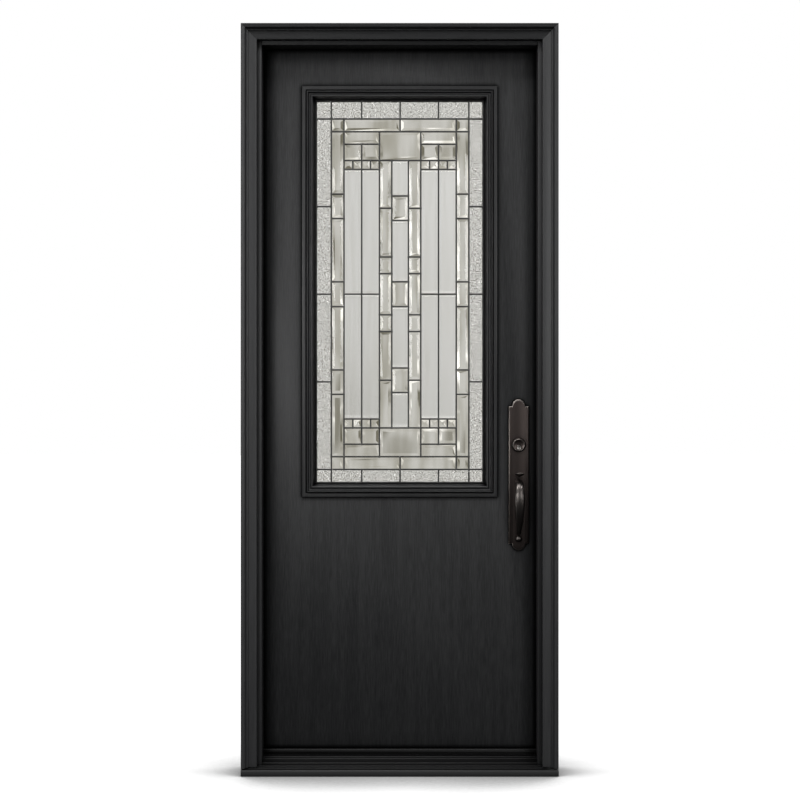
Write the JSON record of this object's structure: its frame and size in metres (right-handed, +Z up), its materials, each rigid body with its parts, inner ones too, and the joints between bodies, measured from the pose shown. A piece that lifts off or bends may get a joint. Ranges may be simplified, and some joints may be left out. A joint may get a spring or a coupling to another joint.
{
  "type": "prehung entry door with leaded glass",
  "caption": "Inswing fibreglass entry door with a leaded-glass lite, hung in its jambs with casing, ribbed sill, weatherstrips and a long-plate handleset.",
  "frame": {"origin": "middle of the sill's underside, in the plane of the casing's back, which lies on the outside wall", "axes": "+X to the right seen from outside, +Y into the building, +Z up"},
  "size_m": [0.9024, 0.2125, 2.1375],
  "materials": {
    "fibreglass": "black painted fibreglass skin with faint vertical wood grain",
    "painted_wood": "satin black paint over smooth timber",
    "composite": "matte black moulded composite",
    "sill_metal": "black anodised, ribbed",
    "seal": "matte black foam and vinyl seal",
    "leaded_glass": "clear bevelled, granite-textured and lightly streaked lights",
    "came": "dark patina on flat cames",
    "bronze": "dark bronze, satin, brighter on the edges",
    "steel": "satin nickel"
  },
  "bodies": {
    "frame": {"jamb_hinge_side": "painted_wood", "jamb_latch_side": "painted_wood", "jamb_head": "painted_wood", "brickmould_left": "painted_wood", "brickmould_right": "painted_wood", "brickmould_head": "painted_wood", "sill_substrate": "composite", "sill_deck": "sill_metal", "threshold_cap": "composite", "weatherstrip_left": "seal", "weatherstrip_right": "seal", "weatherstrip_head": "seal", "strike_plate": "steel", "hinge_1_frame_leaf": "steel", "hinge_2_frame_leaf": "steel", "hinge_3_frame_leaf": "steel", "hinge_1_pin": "steel", "hinge_2_pin": "steel", "hinge_3_pin": "steel"},
    "door": {"door_slab": "fibreglass", "door_sweep": "seal", "lite_frame_outside": "fibreglass", "lite_frame_inside": "fibreglass", "leaded_glass": "leaded_glass", "came_lattice_outside": "came", "came_lattice_inside": "came", "hinge_1_door_leaf": "steel", "hinge_2_door_leaf": "steel", "hinge_3_door_leaf": "steel", "handle_plate": "bronze", "cylinder_collar": "bronze", "handle_grip": "bronze", "grip_foot_screw": "bronze", "inside_plate": "bronze", "lock_faceplate": "steel"},
    "thumb": {"thumb_piece": "bronze"},
    "knob": {"inside_knob": "bronze"},
    "turn": {"inside_thumb_turn": "bronze"},
    "plug": {"key_plug": "steel"},
    "dead_bolt": {"deadbolt": "steel"},
    "latch": {"latch_bolt": "steel"}
  },
  "joints": [
    {"name": "door_swing", "type": "hinge", "parent": "frame", "child": "door", "pos_m": [-0.405, 0.1229, 1.0735], "axis": [0, 0, 1], "range_deg": [0, 110]},
    {"name": "thumb_press", "type": "hinge", "parent": "door", "child": "thumb", "pos_m": [0.34425, 0.06755, 0.85], "axis": [1, 0, 0], "range_deg": [0, 10], "stiffness_Nm_per_rad": 1, "springref_deg": -5.73},
    {"name": "knob_turn", "type": "hinge", "parent": "door", "child": "knob", "pos_m": [0.34425, 0.09365, 0.854], "axis": [0, 1, 0], "range_deg": [-60, 60], "stiffness_Nm_per_rad": 0.5},
    {"name": "deadbolt_throw", "type": "slide", "parent": "door", "child": "dead_bolt", "axis": [1, 0, 0], "range_m": [0, 0.0254]},
    {"name": "lock_turn", "type": "hinge", "parent": "door", "child": "turn", "pos_m": [0.34425, 0.09365, 0.9301], "axis": [0, 1, 0], "range_deg": [0, 90]},
    {"name": "key_turn", "type": "hinge", "parent": "door", "child": "plug", "pos_m": [0.34425, 0.09365, 0.9301], "axis": [0, 1, 0], "range_deg": [0, 90]},
    {"name": "latch_throw", "type": "slide", "parent": "door", "child": "latch", "axis": [1, 0, 0], "range_m": [0, 0.0127]}
  ],
  "couplings": [
    {"joint": "lock_turn", "follows": "deadbolt_throw", "rad_per_m": 61.84},
    {"joint": "key_turn", "follows": "deadbolt_throw", "rad_per_m": 61.84}
  ]
}
